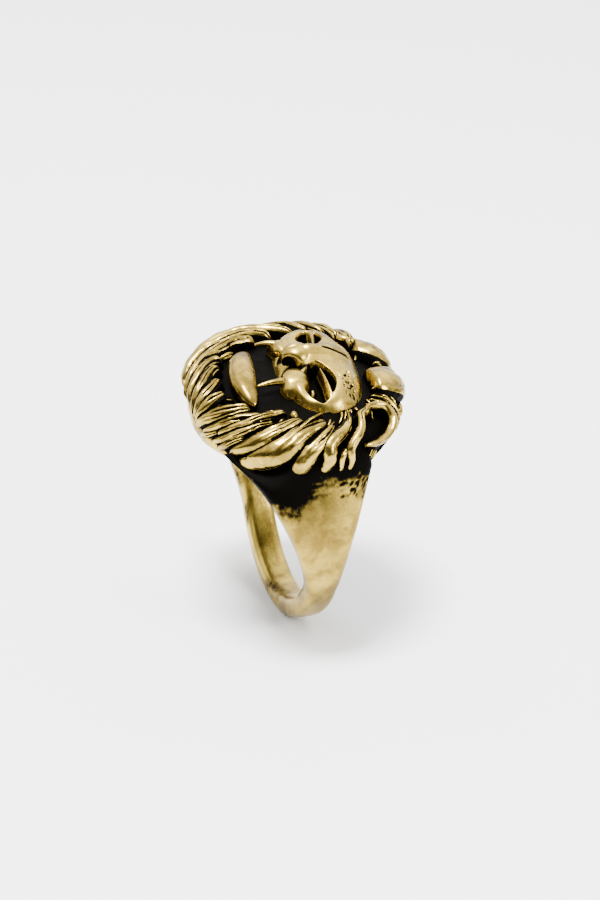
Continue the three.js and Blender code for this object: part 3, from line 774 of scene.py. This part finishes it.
# Each field: its angles, its reaches, how many hairs, and how far each one sweeps round and runs down.
hair_fields = [
    ((62, 82), (0.52, 0.92), 16, (-3, 0.16)), ((34, 62), (0.49, 0.60), 12, (-3, 0.10)),
    ((-40, 34), (0.46, 0.58), 40, (-10, 0.13)), ((-70, -35), (0.48, 0.74), 26, (-8, 0.16)),
    ((235, 290), (0.50, 0.80), 16, (6, 0.18)), ((104, 180), (0.50, 0.85), 22, (12, 0.14)),
    ((180, 235), (0.44, 0.74), 44, (16, 0.10)), ((15, 36), (0.95, 1.12), 14, (-6, 0.10)),
    ((96, 106), (0.55, 0.90), 6, (-2, 0.14)),
]
for (low_angle, high_angle), (low_reach, high_reach), count, (sweep, run) in hair_fields:
    for _ in range(count):
        angle, reach = hair_dice.uniform(low_angle, high_angle), hair_dice.uniform(low_reach, high_reach)
        sway = hair_dice.uniform(-2, 2)
        path = [(angle, reach), (angle + sweep * 0.5 + sway, reach + run * 0.5), (angle + sweep, reach + run)]
        width, height = hair_dice.uniform(0.08, 0.17), hair_dice.uniform(0.25, 0.80)
        seed = int(hair_dice.integers(1, 90))
        hair_parts.append(lock(path, width, height, strands=1, cut=0.0, root=0.4, tip=0.1, sink=0.3,
                               seed=seed, steps=14, sides=10))
points, faces, blacking = joined(hair_parts)
casting("fine_hairs", on_head(points), faces, mane_brass, [], 0.5 * blacking)

# ---- Patina in the recesses ------------------------------------------------------------------------------
# The ring was dipped in blackening and then rubbed with a cloth, which reaches only what stands open. Each
# corner of the casting is as black as it is closed in by the metal within a millimetre or so of it.

REACH_OF_CLOTH = 0.00150
FEELERS = 18
CLOSED_TO_BLACK = 1.15
all_points, all_faces, start = [], [], 0
for piece in ring_pieces:
    mesh = piece.data
    places = np.empty(len(mesh.vertices) * 3)
    mesh.vertices.foreach_get("co", places)
    all_points.append(places.reshape(-1, 3))
    all_faces += [tuple(start + i for i in face.vertices) for face in mesh.polygons]
    start += len(mesh.vertices)
whole = BVHTree.FromPolygons([Vector(p) for p in np.vstack(all_points)], all_faces)
golden = math.pi * (3 - math.sqrt(5))
feelers = []
for i in range(FEELERS):
    z = (i + 0.6) / FEELERS
    spread = math.sqrt(1 - z * z)
    feelers.append(Vector((spread * math.cos(golden * i), spread * math.sin(golden * i), z)))
for piece in ring_pieces:
    mesh = piece.data
    painted = mesh.attributes["patina"]
    blacking_and_shade = np.empty(len(mesh.vertices))
    painted.data.foreach_get("value", blacking_and_shade)
    closed = np.zeros(len(mesh.vertices))
    for i, corner in enumerate(mesh.vertices):
        normal = corner.normal
        turn = normal.to_track_quat("Z", "Y")
        start_at = corner.co + normal * 0.00003
        shut = 0.0
        for feeler in feelers:
            hit = whole.ray_cast(start_at, turn @ feeler, REACH_OF_CLOTH)
            if hit[0] is not None:
                shut += 1 - 0.6 * hit[3] / REACH_OF_CLOTH
        closed[i] = shut / len(feelers)
    # The cavity blackening is added to each piece's given darkening, which on the lower lip includes painted
    # shade.
    painted.data.foreach_set("value", np.clip(closed * CLOSED_TO_BLACK + blacking_and_shade, 0, 1))

# ---- Floor, light and camera -----------------------------------------------------------------------------
# A plain table of pale matt paper under an even studio sky, with two small soft lights over it. The sky is
# dark low down on one side, so that the rubbed metal has something dark to mirror.

floor_mesh = bpy.data.meshes.new("floor")
half_floor, floor_z = 3.0, FOOT_Z * 0.001 - 0.00001
floor_corners = [(x * half_floor, y * half_floor, floor_z) for x, y in ((-1, -1), (1, -1), (1, 1), (-1, 1))]
floor_mesh.from_pydata(floor_corners, [], [(0, 1, 2, 3)])
floor = bpy.data.objects.new("floor", floor_mesh)
bpy.context.scene.collection.objects.link(floor)
floor_paper = bpy.data.materials.new("floor_paper")
floor_paper.use_nodes = True
paper = floor_paper.node_tree.nodes["Principled BSDF"]
paper.inputs["Base Color"].default_value = (0.90, 0.90, 0.90, 1)
paper.inputs["Roughness"].default_value = 0.9
floor_mesh.materials.append(floor_paper)

world = bpy.data.worlds.new("studio")
bpy.context.scene.world = world
world.use_nodes = True
sky_nodes, sky_links = world.node_tree.nodes, world.node_tree.links
sky_place = sky_nodes.new("ShaderNodeTexCoord")
sky_tilt = sky_nodes.new("ShaderNodeVectorMath")
sky_tilt.operation = "DOT_PRODUCT"
sky_tilt.inputs[1].default_value = (-0.42, 0.14, 0.80)
sky_ramp = sky_nodes.new("ShaderNodeValToRGB")
sky_links.new(sky_place.outputs["Generated"], sky_tilt.inputs[0])
sky_links.new(sky_tilt.outputs["Value"], sky_ramp.inputs["Fac"])
sky_links.new(sky_ramp.outputs["Color"], sky_nodes["Background"].inputs["Color"])
sky_ramp.color_ramp.elements[0].position = 0.16
sky_ramp.color_ramp.elements[0].color = (0.03, 0.03, 0.03, 1)
sky_ramp.color_ramp.elements[1].position = 0.85
sky_ramp.color_ramp.elements[1].color = (1, 1, 1, 1)
for position, bright in ((0.40, 0.62), (0.56, 0.36)):
    stop = sky_ramp.color_ramp.elements.new(position)
    stop.color = (bright, bright, bright, 1)
sky_nodes["Background"].inputs["Strength"].default_value = 4.2


def soft_light(name, place, aim, size, power):
    lamp = bpy.data.lights.new(name, "AREA")
    lamp.shape = "RECTANGLE"
    lamp.size, lamp.size_y = size
    lamp.energy = power
    holder = bpy.data.objects.new(name, lamp)
    holder.location = place
    holder.rotation_euler = (Vector(aim) - Vector(place)).to_track_quat("-Z", "Y").to_euler()
    bpy.context.scene.collection.objects.link(holder)


soft_light("key", (0.02, -0.08, 0.42), (0, 0, 0), (0.13, 0.13), 6.0)
soft_light("side", (0.30, 0.25, 0.20), (0, 0, 0), (0.14, 0.14), 2.0)

CAMERA_AWAY = 0.300
toward = Vector((0.851, -0.290, 0.438)).normalized()
level_right = Vector((0.322, 0.947, 0)).normalized()
level_up = toward.cross(level_right)
roll = math.radians(2.57)
right = level_right * math.cos(roll) + level_up * math.sin(roll)
up = level_up * math.cos(roll) - level_right * math.sin(roll)
lens = bpy.data.cameras.new("camera")
lens.lens = 136.92
lens.shift_x = 0.0129
lens.shift_y = 0.0412
lens.clip_start = 0.01
camera = bpy.data.objects.new("camera", lens)
turn = Matrix((right, up, toward)).transposed().to_4x4()
camera.matrix_world = Matrix.Translation(toward * CAMERA_AWAY) @ turn
bpy.context.scene.collection.objects.link(camera)
bpy.context.scene.camera = camera
